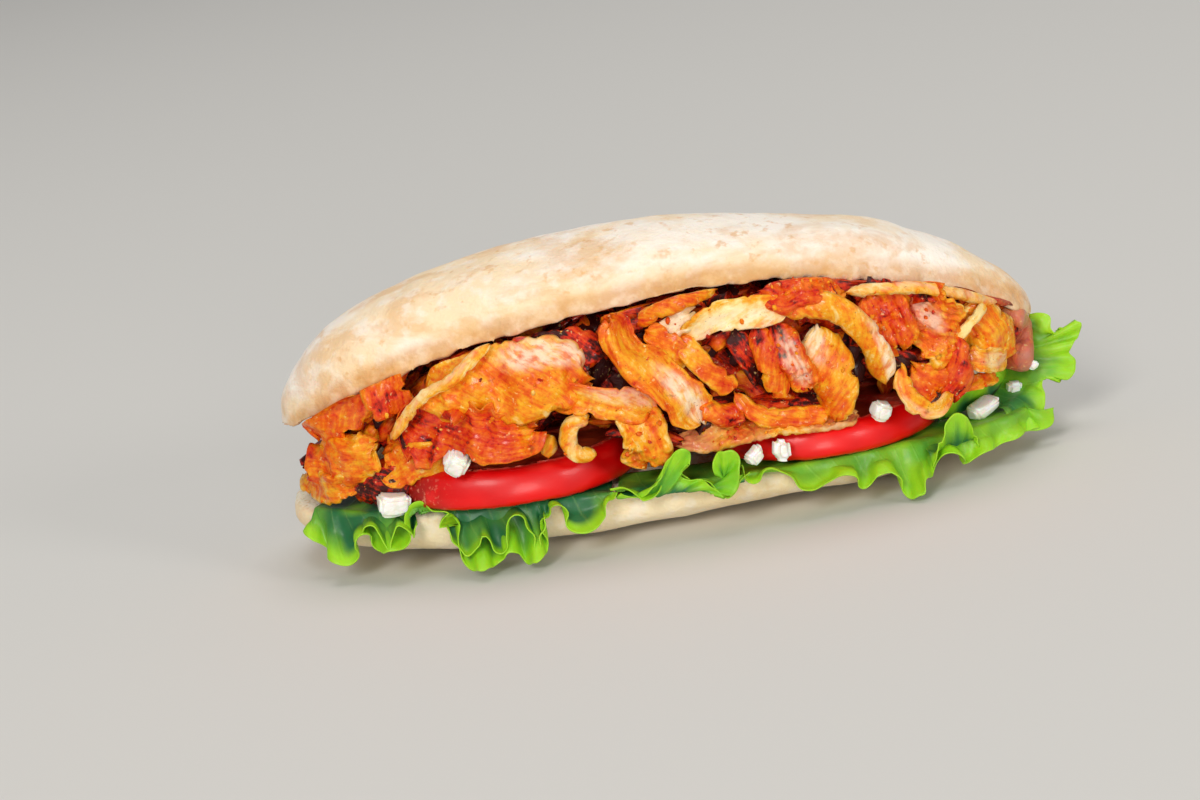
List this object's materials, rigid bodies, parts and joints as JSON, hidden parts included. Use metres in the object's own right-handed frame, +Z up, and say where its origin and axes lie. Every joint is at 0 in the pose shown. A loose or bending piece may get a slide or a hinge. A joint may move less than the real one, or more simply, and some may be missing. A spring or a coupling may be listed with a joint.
{
  "type": "doner kebab sandwich",
  "caption": "Long oval bread loaf split along its front, filled with leaf lettuce, tomato slices, diced onion and a heap of shaved roast meat.",
  "frame": {"origin": "centre of the sandwich's box, at the underside of the loaf", "axes": "+X along the loaf, +Y from the mouth to the uncut hinge, +Z up"},
  "size_m": [0.2782, 0.116, 0.0959],
  "materials": {
    "bread": "baked flatbread crust, floured and matt",
    "meat": "roast meat shavings, moist",
    "tomato": "fresh tomato, glossy skin",
    "lettuce": "leaf lettuce, satin",
    "onion": "raw white onion, moist"
  },
  "bodies": {
    "root": {"bread": "bread", "meat": "meat", "tomato_left": "tomato", "tomato_right": "tomato", "lettuce_left": "lettuce", "lettuce_middle": "lettuce", "lettuce_right": "lettuce", "onion_dice_1": "onion", "onion_dice_2": "onion", "onion_dice_3": "onion", "onion_dice_4": "onion", "onion_dice_5": "onion", "onion_dice_6": "onion", "onion_dice_7": "onion"}
  },
  "joints": []
}
